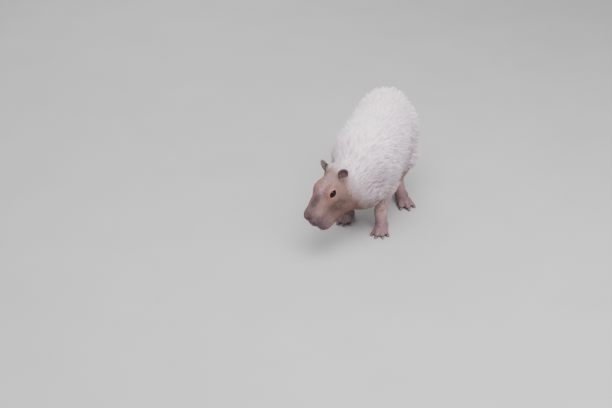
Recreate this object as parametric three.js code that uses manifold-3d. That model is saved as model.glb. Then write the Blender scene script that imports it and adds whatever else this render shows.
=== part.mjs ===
// A life-size still model of a pale male capybara that walks with its head lowered to the ground.
// Millimetres, +Z up, nose towards -Y, the animal's left side towards +X, feet on the plane z = 0.
import * as THREE from "three";
import { mergeVertices } from "three/addons/utils/BufferGeometryUtils.js";
import Module from "manifold-3d";

const wasm = await Module();
wasm.setup();

// Driving dimensions
const seam = 0.3; // width of the thin cut between two parts
const headLength = 262; // back of the skull to the tip of the nose
const headPitch = THREE.MathUtils.degToRad(-41); // nose down
const headYaw = THREE.MathUtils.degToRad(27); // nose to the animal's right
const headRoll = THREE.MathUtils.degToRad(6);
const skullBack = [-42, -240, 334]; // middle of the skull's back end
const eyeRadius = 18;
const eyeOpening = [19.5, 11]; // half width and half height between the lids
const earHeight = 56;
const bellyHalfWidth = 140;
const backHeight = 490;
const legCut = { fore: 146, hind: 158 }; // heights where the legs leave the trunk
const footCut = 62; // height where the feet begin
const toeAngles = { fore: [-34, -11, 12, 36], hind: [-24, 0, 24] }; // degrees, outwards is positive
const toeLengths = { fore: [50, 62, 60, 46], hind: [66, 76, 64] }; // from the ball of the foot
const toeRadius = { fore: 10.5, hind: 12.5 };
const clawLength = 16;
const netStep = { torso: 28, neck: 22, head: 13, leg: 18, foot: 11 }; // size of the skin's triangles
const coatDepth = 15; // from the core to the tips of the coat
const lockSize = { length: 112, halfWidth: 31, halfThick: 4.5 };
const lockSpacing = { torso: 52, neck: 42 };

// Vector helpers for plain [x, y, z] points
const add = (a, b) => a.map((v, i) => v + b[i]);
const sub = (a, b) => a.map((v, i) => v - b[i]);
const times = (a, k) => a.map((v) => v * k);
const dot = (a, b) => a[0] * b[0] + a[1] * b[1] + a[2] * b[2];
const cross = (a, b) => [
  a[1] * b[2] - a[2] * b[1],
  a[2] * b[0] - a[0] * b[2],
  a[0] * b[1] - a[1] * b[0],
];
const unit = (a) => times(a, 1 / Math.hypot(...a));
const mix = (a, b, t) => a.map((v, i) => v + (b[i] - v) * t);
const mixNumber = THREE.MathUtils.lerp;
const clamp = THREE.MathUtils.clamp;

// Smooth shapes: each gives the distance of a point from its surface, negative inside
function lump(centre, radii) {
  const least = -Math.min(...radii);
  return (p) => {
    let inside = 0;
    let slope = 0;
    for (let i = 0; i < 3; i++) {
      const q = (p[i] - centre[i]) / radii[i];
      inside += q * q;
      slope += (q / radii[i]) ** 2;
    }
    inside = Math.sqrt(inside);
    return inside < 1e-5 ? least : (inside * (inside - 1)) / Math.sqrt(slope);
  };
}

function limb(start, end, startRadius, endRadius) {
  const along = sub(end, start);
  const length2 = dot(along, along);
  return (p) => {
    const off = sub(p, start);
    const t = clamp(dot(off, along) / length2, 0, 1);
    return Math.hypot(...sub(off, times(along, t))) - mixNumber(startRadius, endRadius, t);
  };
}

// A block with rounded edges whose half width and half height change from its back end to its front end
function taperedBlock(back, front, backHalf, frontHalf, round) {
  const middle = (back + front) / 2;
  const halfLength = (front - back) / 2;
  return (p) => {
    const t = clamp((p[0] - back) / (front - back), 0, 1);
    const q = [
      Math.abs(p[0] - middle) - halfLength + round,
      Math.abs(p[1]) - mixNumber(backHalf[0], frontHalf[0], t) + round,
      Math.abs(p[2]) - mixNumber(backHalf[1], frontHalf[1], t) + round,
    ];
    const outside = Math.hypot(...q.map((v) => Math.max(v, 0)));
    return outside + Math.min(Math.max(...q), 0) - round;
  };
}

function blend(a, b, width) {
  const h = Math.max(width - Math.abs(a - b), 0) / width;
  return Math.min(a, b) - h * h * width * 0.25;
}

// Joins a list of [shape, blend width] pairs into one smooth shape
function smoothed(shapes) {
  return (p) => shapes.reduce((d, [shape, width]) => blend(d, shape(p), width), 1e4);
}

// The head has its own axes: forward along the muzzle, left and up
const headTurn = new THREE.Matrix4()
  .makeRotationZ(-Math.PI / 2 - headYaw)
  .multiply(new THREE.Matrix4().makeRotationY(-headPitch))
  .multiply(new THREE.Matrix4().makeRotationX(headRoll));
const headPlace = new THREE.Matrix4().makeTranslation(...skullBack).multiply(headTurn);
const headInverse = headPlace.clone().invert();
const onHead = (p) => new THREE.Vector3(...p).applyMatrix4(headPlace).toArray();
const fromHead = (p) => new THREE.Vector3(...p).applyMatrix4(headInverse).toArray();
const headWay = (p) => sub(onHead(p), skullBack); // a direction in the head's axes

// Places on the head, in its own axes
const sideSign = { left: 1, right: -1 };
const eyeAt = (s) => [123, 38.5 * s, 49];
const eyeOut = (s) => unit([0.16, 1 * s, 0.2]); // the way an eye looks
const earRoot = (s) => [38, 52 * s, 58];

function headShape() {
  const pair = (centre, radii, width) =>
    [1, -1].map((s) => [lump([centre[0], centre[1] * s, centre[2]], radii), width]);
  return smoothed([
    [lump([62, 0, 4], [84, 60, 66]), 30], // skull
    [lump([112, 0, 32], [88, 48, 36]), 30], // forehead
    ...pair([88, 34, -34], [70, 36, 60], 30), // cheeks
    [taperedBlock(90, headLength - 4, [52, 55], [47, 54], 30), 30], // muzzle
    [lump([146, 0, -52], [88, 42, 42]), 26], // lower jaw
    [lump([215, 0, -56], [32, 31, 24]), 14], // chin
    ...pair([232, 26, -20], [30, 24, 34], 14), // upper lips
    ...pair([240, 19, 28], [21, 18, 20], 12), // nostril wings
    ...pair([119, 38, 55], [30, 15, 16], 16), // brows
    ...pair([127, 43, 23], [26, 14, 14], 12), // lower rims of the eye sockets
    [lump([186, 0, 44], [40, 19, 14]), 12], // scent gland on the snout
    ...pair([34, 46, 46], [24, 15, 20], 16), // ear roots
  ]);
}

// Trunk, neck and the upper parts of the legs
const trunk = {
  rump: { centre: [-20, 258, backHeight - 150], radii: [121, 142, 148] },
  loin: { centre: [-9, 140, backHeight - 156], radii: [126, 205, 154] },
  belly: { centre: [-4, 40, 310], radii: [bellyHalfWidth, 215, 138] },
  spine: { centre: [-3, 20, 352], radii: [100, 230, 134] },
  chest: { centre: [-4, -60, 324], radii: [124, 170, 150] },
  withers: { centre: [-6, -116, 372], radii: [94, 120, 84] },
  brisket: { centre: [-10, -140, 230], radii: [84, 92, 88] },
};

const legs = {
  foreleg_left: {
    shoulder: [68, -96, 300],
    elbow: [75, -66, 212],
    wrist: [66, -90, 80],
    ball: [76, -106, 22],
    toeOut: 8,
  },
  foreleg_right: {
    shoulder: [-80, -96, 300],
    elbow: [-94, -48, 212],
    wrist: [-92, -34, 80],
    ball: [-92, -50, 22],
    toeOut: 8,
  },
  hindleg_left: {
    hip: [48, 240, 326],
    knee: [94, 168, 232],
    hock: [52, 220, 93],
    ball: [91, 171, 24],
    toeOut: 38,
  },
  hindleg_right: {
    hip: [-72, 244, 326],
    knee: [-106, 184, 236],
    hock: [-104, 300, 104],
    ball: [-106, 240, 24],
    toeOut: 12,
  },
};

function forelegShapes({ shoulder, elbow, wrist, ball }) {
  return [
    [limb(shoulder, elbow, 72, 50), 40],
    [limb(elbow, mix(elbow, wrist, 0.55), 44, 29), 26],
    [limb(mix(elbow, wrist, 0.5), wrist, 29, 24), 16],
    [limb(wrist, ball, 24, 25), 14],
  ];
}

function hindlegShapes({ hip, knee, hock, ball }) {
  return [
    [limb(hip, knee, 86, 58), 44],
    [limb(knee, mix(knee, hock, 0.6), 54, 36), 30],
    [limb(mix(knee, hock, 0.5), hock, 38, 27), 18],
    [limb(hock, ball, 27, 25), 16],
  ];
}

// Places of a foot's toes, from the ball of the foot to the last pad
function toesOf(leg) {
  const kind = leg.shoulder ? "fore" : "hind";
  const side = Math.sign(leg.ball[0]);
  return toeAngles[kind].map((angle, i) => {
    const turn = THREE.MathUtils.degToRad((angle + leg.toeOut) * side);
    const way = [Math.sin(turn), -Math.cos(turn), 0];
    const reach = toeLengths[kind][i];
    const ground = [leg.ball[0], leg.ball[1], 0];
    const radius = toeRadius[kind];
    return {
      way,
      radius,
      root: add(ground, add(times(way, 12), [0, 0, 26])),
      knuckle: add(ground, add(times(way, reach * 0.62), [0, 0, 21])),
      pad: add(ground, add(times(way, reach), [0, 0, radius - 2])),
    };
  });
}

function footShape(leg) {
  const [x, y] = leg.ball;
  const long = leg.shoulder ? 30 : 42;
  const toes = toesOf(leg).flatMap(({ root, knuckle, pad, radius }) => [
    [limb(root, knuckle, radius + 3, radius + 1), 10],
    [limb(knuckle, pad, radius + 1, radius - 1), 10], // the blends web the toes
  ]);
  return smoothed([
    ...toes,
    [lump([x, y + long * 0.2, 22], [29, long, 24]), 10], // palm
    [lump([x, y + long * 0.75, 10], [19, 18, 14]), 10], // heel pad
  ]);
}

const neckShapes = [
  [limb([-4, -150, 330], onHead([22, 0, -4]), 116, 68), 60],
  [limb([-10, -158, 216], onHead([84, 0, -74]), 84, 54), 50], // throat
];

const headField = headShape();
const footFields = Object.values(legs).map(footShape);
const bodyField = smoothed([
  ...Object.values(trunk).map(({ centre, radii }) => [lump(centre, radii), 60]),
  ...neckShapes,
  ...forelegShapes(legs.foreleg_left),
  ...forelegShapes(legs.foreleg_right),
  ...hindlegShapes(legs.hindleg_left),
  ...hindlegShapes(legs.hindleg_right),
]);

// The whole animal out to the tips of its coat
function flesh(p) {
  let d = blend(bodyField(p), headField(fromHead(p)), 22);
  if (p[2] < 110) footFields.forEach((foot) => (d = blend(d, foot(p), 8)));
  return d;
}

// Covers the part of a smooth shape that lies in a box with an even net of triangles,
// on a grid moved along until no edge is shared by more than two of them
function net(field, low, high, step) {
  for (let move = 0; move < 1; move += 0.19) {
    const start = low.map((v) => v - move * step);
    const geometry = netOnGrid(field, start, high, step);
    if (geometry) return geometry;
  }
  throw new Error("no grid gives a clean net");
}

function edgesPair(triangles) {
  const uses = new Map();
  for (let i = 0; i < triangles.length; i++) {
    const next = i % 3 === 2 ? i - 2 : i + 1;
    const ends = [triangles[i], triangles[next]].sort((a, b) => a - b);
    const key = ends[0] * 1e6 + ends[1];
    uses.set(key, (uses.get(key) || 0) + 1);
  }
  return [...uses.values()].every((n) => n === 2);
}

function netOnGrid(field, low, high, step) {
  const boxed = (p) => {
    let d = field(p);
    for (let i = 0; i < 3; i++) d = Math.max(d, low[i] + step - p[i], p[i] - high[i] + step);
    return d;
  };
  const counts = low.map((v, i) => Math.ceil((high[i] - v) / step) + 1);
  const strides = [1, counts[0], counts[0] * counts[1]];
  const values = new Float64Array(strides[2] * counts[2]);
  const at = (i, j, k) => i + j * strides[1] + k * strides[2];
  for (let k = 0; k < counts[2]; k++)
    for (let j = 0; j < counts[1]; j++)
      for (let i = 0; i < counts[0]; i++)
        values[at(i, j, k)] = boxed([low[0] + i * step, low[1] + j * step, low[2] + k * step]) || 1e-6;
  const corners = [0, 1, 2, 3, 4, 5, 6, 7].map((c) => [c & 1, (c >> 1) & 1, c >> 2]);
  const edges = corners.flatMap((a, n) =>
    corners.slice(n + 1).flatMap((b) => (sub(a, b).filter((v) => v).length === 1 ? [[a, b]] : [])),
  );
  const cellVertex = new Map();
  const points = [];
  for (let k = 0; k < counts[2] - 1; k++)
    for (let j = 0; j < counts[1] - 1; j++)
      for (let i = 0; i < counts[0] - 1; i++) {
        const crossings = [];
        for (const [a, b] of edges) {
          const va = values[at(i + a[0], j + a[1], k + a[2])];
          const vb = values[at(i + b[0], j + b[1], k + b[2])];
          if (va < 0 !== vb < 0) crossings.push(mix(a, b, va / (va - vb)));
        }
        if (!crossings.length) continue;
        const middle = times(crossings.reduce(add), 1 / crossings.length);
        cellVertex.set(at(i, j, k), points.length);
        points.push(add(low, times(add(middle, [i, j, k]), step)));
      }
  const triangles = [];
  for (let k = 1; k < counts[2] - 1; k++)
    for (let j = 1; j < counts[1] - 1; j++)
      for (let i = 1; i < counts[0] - 1; i++)
        for (let axis = 0; axis < 3; axis++) {
          const here = at(i, j, k);
          const inside = values[here] < 0;
          if (inside === values[here + strides[axis]] < 0) continue;
          const u = strides[(axis + 1) % 3];
          const v = strides[(axis + 2) % 3];
          const quad = [here, here - u, here - u - v, here - v].map((c) => cellVertex.get(c));
          if (!inside) quad.reverse();
          triangles.push(...splitQuad(quad, points));
        }
  if (!edgesPair(triangles)) return null;
  const settled = points.map((p) => settle(boxed, p, step));
  const geometry = new THREE.BufferGeometry();
  geometry.setAttribute("position", new THREE.Float32BufferAttribute(settled.flat(), 3));
  geometry.setIndex(triangles);
  return geometry;
}

// A quad's shorter diagonal makes the smoother pair of triangles
function splitQuad([a, b, c, d], points) {
  const length = (i, j) => Math.hypot(...sub(points[i], points[j]));
  return length(a, c) < length(b, d) ? [a, b, c, a, c, d] : [a, b, d, b, c, d];
}

// Moves a point of the net onto the surface, by less than half a step
function settle(field, start, step) {
  let p = start;
  const h = step * 0.1;
  for (let pass = 0; pass < 2; pass++) {
    const slope = [0, 1, 2].map((i) => {
      const ahead = [...p];
      const behind = [...p];
      ahead[i] += h;
      behind[i] -= h;
      return (field(ahead) - field(behind)) / (2 * h);
    });
    const steep = Math.max(dot(slope, slope), 0.25);
    p = sub(p, times(slope, clamp(field(p), -step / 4, step / 4) / steep));
  }
  return p;
}

// Solids, for cuts and joins
function solidOf(geometry) {
  const bare = new THREE.BufferGeometry();
  const source = geometry.index ? geometry.toNonIndexed() : geometry;
  bare.setAttribute("position", source.getAttribute("position"));
  const merged = mergeVertices(bare, 1e-3);
  return new wasm.Manifold(
    new wasm.Mesh({
      numProp: 3,
      vertProperties: merged.attributes.position.array,
      triVerts: new Uint32Array(merged.index.array),
    }),
  );
}

// Points nearer than a hair are merged, and triangles that this folds flat are dropped
function geometryOf(solid) {
  const { vertProperties, triVerts } = solid.getMesh();
  const geometry = new THREE.BufferGeometry();
  geometry.setAttribute("position", new THREE.BufferAttribute(new Float32Array(vertProperties), 3));
  geometry.setIndex(new THREE.BufferAttribute(new Uint32Array(triVerts), 1));
  const merged = mergeVertices(geometry, 1e-3);
  const kept = new Map();
  for (let i = 0; i < merged.index.count; i += 3) {
    const triangle = [0, 1, 2].map((k) => merged.index.getX(i + k));
    if (new Set(triangle).size < 3) continue;
    const key = [...triangle].sort((a, b) => a - b).join();
    if (!kept.delete(key)) kept.set(key, triangle);
  }
  merged.setIndex([...kept.values()].flat());
  return merged;
}

function largest(solid) {
  return solid.decompose().reduce((a, b) => (a.volume() > b.volume() ? a : b));
}

// The coat: a core under the tips, with flat locks that lie along it from head to tail
const ramp = (v, low, high) => THREE.MathUtils.smoothstep(v, low, high);

// The coat grows out behind the head and dies out on the belly and the legs
function coatShare(p) {
  return ramp(p[2], 185, 255) * ramp(-fromHead(p)[0], -32, 34);
}
const core = (p) => flesh(p) + coatDepth * coatShare(p);

let seed = 11;
function random(low, high) {
  seed = (seed * 16807) % 2147483647;
  return low + ((high - low) * seed) / 2147483647;
}

function slopeOf(field, p) {
  return [0, 1, 2].map((i) => {
    const ahead = [...p];
    ahead[i] += 1;
    return field(ahead) - field(p);
  });
}

// The way the coat lies: back along the trunk, down over the flanks and the rump
function coatWay(p, normal) {
  const down = -0.12 - 0.4 * ramp(Math.abs(p[0]), 40, 130) - 1.1 * ramp(p[1], 250, 380);
  const way = [random(-0.16, 0.16), 1, down + random(-0.14, 0.14)];
  return unit(sub(way, times(normal, dot(way, normal))));
}

function atHeight(p, height) {
  let q = p;
  for (let pass = 0; pass < 3; pass++)
    q = add(q, times(unit(slopeOf(core, q)), height - core(q)));
  return q;
}

// A lock is broad where it leaves the core, bends with the body and ends in a narrow tip
function lock(root) {
  const normal = unit(slopeOf(core, root));
  const way = coatWay(root, normal);
  const size = random(0.82, 1.12);
  const depth = coatDepth * coatShare(root);
  const stations = [
    { along: -0.14, height: -8, width: 0.8, thick: 1 },
    { along: 0.4, height: depth * 0.42, width: 1, thick: 1 },
    { along: 1, height: depth * random(0.85, 1.1), width: 0.16, thick: 0.3 },
  ];
  const reach = lockSize.length * size;
  const points = stations.map((t) => atHeight(add(root, times(way, t.along * reach)), t.height));
  const widths = stations.map((t) => lockSize.halfWidth * size * t.width);
  const thicks = stations.map((t) => lockSize.halfThick * t.thick);
  return tube(points, widths, thicks, normal, 4);
}

// Roots for locks, spread evenly over the corners of a net where the coat is long
function locksOn(geometry, spacing) {
  const corners = geometry.getAttribute("position");
  const order = Array.from({ length: corners.count }, (_, i) => [random(0, 1), i]);
  order.sort((a, b) => a[0] - b[0]);
  const roots = [];
  for (const [, i] of order) {
    const p = [corners.getX(i), corners.getY(i), corners.getZ(i)];
    const grows = coatShare(p) > 0.4 && Math.abs(core(p)) < 1;
    if (grows && roots.every((r) => Math.hypot(...sub(r, p)) > spacing)) roots.push(p);
  }
  return roots.map(lock);
}

// A block that starts at a point and reaches ahead along a direction
function blockAhead(point, direction, [wide, high, long], grow = 0) {
  const block = new THREE.BoxGeometry(wide + 2 * grow, high + 2 * grow, long + 2 * grow);
  block.translate(0, 0, long / 2);
  const z = unit(direction);
  const x = unit(cross(z, [0, 1e-3, 1]));
  const y = cross(z, x);
  const turn = new THREE.Matrix4().makeBasis(...[x, y, z].map((v) => new THREE.Vector3(...v)));
  block.applyMatrix4(turn);
  block.translate(...point);
  return solidOf(block);
}

function ball(centre, radius, sides) {
  const sphere = new THREE.SphereGeometry(radius, sides, Math.round(sides * 0.6));
  sphere.translate(...centre);
  return solidOf(sphere);
}

// A closed tube through a few points, with one half width and one half thickness at each
function tube(points, halfWidths, halfThicks, upHint, sides) {
  const positions = [];
  const indices = [];
  points.forEach((point, i) => {
    const before = points[Math.max(i - 1, 0)];
    const after = points[Math.min(i + 1, points.length - 1)];
    const along = unit(sub(after, before));
    const side = unit(cross(along, upHint));
    const up = cross(side, along);
    for (let k = 0; k < sides; k++) {
      const turn = (2 * Math.PI * k) / sides;
      const across = times(side, Math.cos(turn) * halfWidths[i]);
      positions.push(...add(point, add(across, times(up, Math.sin(turn) * halfThicks[i]))));
    }
  });
  for (let i = 0; i < points.length - 1; i++)
    for (let k = 0; k < sides; k++) {
      const a = i * sides + k;
      const b = i * sides + ((k + 1) % sides);
      indices.push(a, b, a + sides, b, b + sides, a + sides);
    }
  const last = (points.length - 1) * sides;
  for (let k = 1; k < sides - 1; k++) {
    indices.push(0, k + 1, k);
    indices.push(last, last + k, last + k + 1);
  }
  const geometry = new THREE.BufferGeometry();
  geometry.setAttribute("position", new THREE.Float32BufferAttribute(positions, 3));
  geometry.setIndex(indices);
  const made = solidOf(geometry);
  if (made.volume() > 0) return made;
  for (let i = 0; i < indices.length; i += 3) indices.splice(i, 2, indices[i + 1], indices[i]);
  geometry.setIndex(indices);
  return solidOf(geometry);
}


// A block between two corners
function blockBetween(low, high) {
  const size = sub(high, low);
  const block = new THREE.BoxGeometry(...size);
  block.translate(...mix(low, high, 0.5));
  return solidOf(block);
}

// Joins and cuts
const joined = (solids) => solids.reduce((a, b) => a.add(b));
const without = (solid, cutters) => cutters.reduce((a, b) => a.subtract(b), solid);

// Where the trunk, the neck and the head part
const neckCut = { point: [-12, -182, 330], way: [-0.28, -0.92, -0.26], size: [460, 460, 420] };
const headCut = { point: onHead([32, 0, -20]), way: headWay([0.95, 0, 0.31]), size: [300, 300, 320] };
const neckBlock = (grow) => blockAhead(neckCut.point, neckCut.way, neckCut.size, grow);
const headBlock = (grow) => blockAhead(headCut.point, headCut.way, headCut.size, grow);

// Where a straight line from inside the head leaves it, both in the head's axes
function onHeadSkin(from, way) {
  let near = 0;
  let far = 140;
  for (let i = 0; i < 24; i++) {
    const middle = (near + far) / 2;
    if (headField(add(from, times(way, middle))) < 0) near = middle;
    else far = middle;
  }
  return add(from, times(way, near));
}

// A groove pressed into the head along a chain of places on its skin
function groove(places, radius) {
  const points = places.map(onHead);
  const radii = points.map((_, i) => radius * (i === points.length - 1 ? 0.5 : 1));
  return tube(points, radii, radii, headWay([0.1, 0.2, 1]), 6);
}

// The line of the mouth runs back under each lip, and the cleft rises from it to the nose
function mouthLine(s) {
  const ahead = (turn) => unit([1, turn * s, 0]);
  const lip = (x, z) => onHeadSkin([x, 0, z], [0, s, 0]);
  const front = [onHeadSkin([200, 0, -38], ahead(0)), onHeadSkin([200, 0, -38], ahead(0.45))];
  return [...front, lip(226, -41), lip(205, -45), lip(184, -51)];
}
const cleft = [-40, -22, -6].map((z) => onHeadSkin([200, 0, z], [1, 0, 0]));

// The gap between the lids, an almond cut in from the side
function lidGap(side) {
  const s = sideSign[side];
  const [long, high] = eyeOpening;
  const almond = new THREE.Shape();
  almond.moveTo(-long, 0);
  almond.quadraticCurveTo(0, high * 2, long, 0);
  almond.quadraticCurveTo(0, -high * 2, -long, 0);
  const cutter = new THREE.ExtrudeGeometry(almond, {
    depth: 40,
    bevelEnabled: false,
    curveSegments: 7,
  });
  const z = new THREE.Vector3(...headWay(eyeOut(s)));
  const y = z.clone().cross(new THREE.Vector3(...headWay([1, 0, -0.16]))).normalize();
  cutter.applyMatrix4(new THREE.Matrix4().makeBasis(y.clone().cross(z), y, z));
  cutter.translate(...onHead(eyeAt(s)));
  return solidOf(cutter);
}

function nostril(s) {
  const hole = new THREE.SphereGeometry(1, 12, 8);
  hole.scale(9, 4.6, 7.5);
  hole.rotateX(-0.5 * s);
  hole.rotateZ(0.35 * s);
  hole.translate(...onHeadSkin([200, 15 * s, 24], unit([1, 0.1 * s, 0])));
  hole.applyMatrix4(headPlace);
  return solidOf(hole);
}

// An ear is a rounded leaf that leans out and back from its root
function earShape(s, width, thick, height, off) {
  const leaf = new THREE.SphereGeometry(1, 13, 8);
  leaf.scale(width, thick, height);
  leaf.translate(off[0], off[1] * s, off[2] + earHeight / 2 - 12);
  leaf.rotateZ(-0.6 * s);
  leaf.rotateX(-0.32 * s);
  leaf.rotateY(-0.3);
  leaf.translate(...earRoot(s));
  leaf.applyMatrix4(headPlace);
  return solidOf(leaf);
}
const earLeaf = (s, grow) => earShape(s, 22 + grow, 9 + grow, earHeight / 2 + grow, [0, 0, 0]);
const earCup = (s) => earShape(s, 16, 9, earHeight / 2 - 7, [2, 6.5, 4]);

function makeHead() {
  const sides = [1, -1];
  const low = sub(onHead([140, 0, 0]), [190, 190, 190]);
  const high = add(onHead([140, 0, 0]), [190, 190, 190]);
  const whole = solidOf(net(core, low, high, netStep.head)).intersect(headBlock(0));
  const lids = sides.map((s) => ball(onHead(eyeAt(s)), eyeRadius + 5.5, 14));
  const cuts = [
    ...sides.map((s) => lidGap(s > 0 ? "left" : "right")),
    ...sides.map((s) => ball(onHead(eyeAt(s)), eyeRadius + seam, 14)),
    ...sides.map((s) => earLeaf(s, seam)),
    ...sides.map((s) => groove(mouthLine(s), 3)),
    ...sides.map(nostril),
    groove(cleft, 2.4),
  ];
  return largest(without(joined([whole, ...lids]), cuts));
}

// How much further in a leg's shank stands than its foot
const turnedIn = ({ ball, hock, wrist }) => Math.max(0, Math.abs(ball[0]) - Math.abs((hock || wrist)[0]));

// The room round a leg from one height to another, clear of the belly
function legBlock(leg, low, high) {
  const [x, y] = leg.ball;
  const side = Math.sign(x);
  const inner = 44 + turnedIn(leg);
  const edges = [x - inner * side, x + 112 * side].sort((a, b) => a - b);
  return blockBetween([edges[0], y - 130, low], [edges[1], y + 110, high]);
}
const cutHeight = (leg) => (leg.shoulder ? legCut.fore : legCut.hind);

const legRoom = () => Object.values(legs).map((leg) => legBlock(leg, -60, cutHeight(leg) + seam));

function coated(low, high, step, spacing) {
  const skin = net(core, low, high, step);
  return joined([solidOf(skin), ...locksOn(skin, spacing)]);
}

function makeTorso() {
  const whole = coated([-200, -300, 60], [200, 450, 540], netStep.torso, lockSpacing.torso);
  return largest(without(whole, [neckBlock(seam), ...legRoom()]));
}

function makeNeck() {
  const whole = coated([-210, -420, 70], [190, -60, 500], netStep.neck, lockSpacing.neck);
  return largest(without(whole.intersect(neckBlock(0)), [headBlock(seam), ...legRoom()]));
}

function makeLeg(leg) {
  const [x, y] = leg.ball;
  const low = [x - 110, y - 120, footCut - 30];
  const high = [x + 110, y + 130, cutHeight(leg) + 40];
  const whole = solidOf(net(core, low, high, netStep.leg));
  return largest(whole.intersect(legBlock(leg, footCut + seam, cutHeight(leg))));
}

function makeFoot(leg) {
  const [x, y] = leg.ball;
  const whole = solidOf(net(flesh, [x - 115, y - 130, -20], [x + 115, y + 90, footCut + 20], netStep.foot));
  const sockets = toesOf(leg).map((toe) => claw(toe, seam));
  return largest(without(whole.intersect(legBlock(leg, 0, footCut)), sockets));
}

// A claw is a blunt hoof-like cone that sits in the tip of its toe
function claw({ pad, way, radius }, grow) {
  const at = (ahead, height) => add([pad[0], pad[1], 0], add(times(way, ahead), [0, 0, height]));
  const reach = radius + clawLength - 6;
  const points = [at(-grow, radius), at(radius + 2, radius - 1), at(reach, 4.5)];
  const widths = [6.4, 7.8, 4].map((w) => w + grow);
  const thicks = [5, 5.4, 2.2].map((t) => t + grow);
  return tube(points, widths, thicks, [0, 0, 1], 6);
}

// Materials and nodes
const colours = {
  coat: 0xe9e0de,
  face: 0xb89486,
  ear: 0x665350,
  eye: 0x0d0b0a,
  leg: 0xb49a94,
  foot: 0x6f5a5c,
  claw: 0x3a3130,
};
const capybara = new THREE.Group();
capybara.name = "capybara";

function addNode(name, solid, colour) {
  const material = new THREE.MeshStandardMaterial({ color: colour, roughness: 0.8 });
  material.name = name;
  const mesh = new THREE.Mesh(geometryOf(solid), material);
  mesh.name = name;
  capybara.add(mesh);
}

addNode("torso", makeTorso(), colours.coat);
addNode("neck", makeNeck(), colours.coat);
addNode("head", makeHead(), colours.face);
for (const [side, s] of Object.entries(sideSign)) {
  addNode("ear_" + side, largest(earLeaf(s, 0).subtract(earCup(s))), colours.ear);
  addNode("eye_" + side, ball(onHead(eyeAt(s)), eyeRadius, 14), colours.eye);
}
for (const [name, leg] of Object.entries(legs)) {
  const foot = name.replace("leg", "foot");
  addNode(name, makeLeg(leg), colours.leg);
  addNode(foot, makeFoot(leg), colours.foot);
  toesOf(leg).forEach((toe, i) => addNode(foot + "_claw_" + (i + 1), claw(toe, 0), colours.claw));
}

// The frame's origin is the middle of the part's foot print
const bounds = new THREE.Box3().setFromObject(capybara);
const middle = bounds.getCenter(new THREE.Vector3());
capybara.position.set(-Math.round(middle.x), -Math.round(middle.y), -Math.round(bounds.min.z));

export default capybara;
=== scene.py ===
"""A pale capybara, life size, that walks with its head lowered: skin, coat, eyes and claws.

The forms are worked out in millimetres, with the nose towards -Y, the left side towards +X and the
feet on z = 0. They turn into metres, in the frame's place, as each mesh is made.
"""
import math

import bmesh
import bpy
import numpy as np
from mathutils import Matrix, Vector
from mathutils.kdtree import KDTree


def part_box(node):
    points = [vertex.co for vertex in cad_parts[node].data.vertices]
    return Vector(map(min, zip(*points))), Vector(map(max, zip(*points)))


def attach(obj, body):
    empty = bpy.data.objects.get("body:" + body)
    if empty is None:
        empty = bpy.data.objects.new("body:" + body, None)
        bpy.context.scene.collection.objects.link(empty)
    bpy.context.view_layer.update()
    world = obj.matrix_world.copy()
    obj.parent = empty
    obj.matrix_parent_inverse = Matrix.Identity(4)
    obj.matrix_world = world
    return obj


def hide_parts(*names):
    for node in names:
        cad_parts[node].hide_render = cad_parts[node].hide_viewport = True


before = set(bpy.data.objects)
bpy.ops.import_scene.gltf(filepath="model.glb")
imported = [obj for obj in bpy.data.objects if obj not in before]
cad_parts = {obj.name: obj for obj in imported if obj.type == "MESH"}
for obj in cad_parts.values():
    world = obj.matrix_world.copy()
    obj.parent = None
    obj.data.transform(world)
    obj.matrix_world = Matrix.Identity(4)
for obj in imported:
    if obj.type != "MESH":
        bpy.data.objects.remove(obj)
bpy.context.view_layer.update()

# Sizes in millimetres
HEAD_LENGTH = 262  # back of the skull to the tip of the nose
HEAD_PITCH = math.radians(-41)
HEAD_YAW = math.radians(27)
HEAD_ROLL = math.radians(6)
SKULL_BACK = np.array([-42.0, -240.0, 334.0])
EYE_RADIUS = 18
EYE_OPENING = (20, 13.5)  # half width and half height between the lids
EYE_PLAY = 0.35  # between the eyeball and its socket
LID_THICKNESS = 3.0
EAR_HEIGHT = 56
BELLY_HALF_WIDTH = 140
BACK_HEIGHT = 490
COAT_DEPTH = 15  # from the skin to the tips of the long coat
BODY_STEP = 6.2  # between the corners of the body's net
HEAD_STEP = 1.97  # between those of the head's net
BODY_BOX = ((-200, -330, -12), (200, 450, 530))  # room for the body's net
HEAD_BOX = ((-150, -160, -170), (180, 170, 175))  # room for the head's net, about the head's middle
FOOT_TOP = 72  # below this the body's net is refined
HEAD_BOTTOM = 70  # the head's net is kept above this
TOE_ANGLES = {"fore": (-34, -11, 12, 36), "hind": (-24, 0, 24)}
TOE_LENGTHS = {"fore": (50, 62, 60, 46), "hind": (66, 76, 64)}
TOE_RADIUS = {"fore": 10.5, "hind": 12.5}
CLAW_LENGTH = 16
SOLE_HEIGHT = 0.2  # the soles are cut flat here

# The photo's view
CAMERA_AZIMUTH = math.radians(18.4)
CAMERA_ELEVATION = math.radians(29.0)
CAMERA_DISTANCE = 5.6  # metres
FOCAL_PIXELS = 1300
PHOTO_WIDTH = 612
SENSOR_WIDTH = 36
VIEW_MIDDLE = (-248.7, -157.8, 100.5)

# The tufts of the coat: how far along, how wide and how high one is at its root, at two places
# between, and at its tip
TUFT_STATIONS = ((-0.05, 0.75, 0.0), (0.34, 1.0, 0.4), (0.7, 0.72, 0.8), (1.0, 0.0, 1.0))
TUFT_ALONG = np.array([0, 0, 0, 0.34, 0.34, 0.34, 0.7, 0.7, 0.7, 1])
TUFT_ASIDE = np.array([1, 0, 0.5, 1, 0, 0.5, 1, 0, 0.5, 0.5])
TUFT_CORNERS = 10
TUFT_TRIANGLES = 16
MOST_TUFTS = 12000  # in one piece
BAKE_PATCH = 0.003  # width of a tuft's patch on the bake map


def unit(v):
    v = np.asarray(v, float)
    return v / np.maximum(np.linalg.norm(v, axis=-1, keepdims=True), 1e-9)


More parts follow.
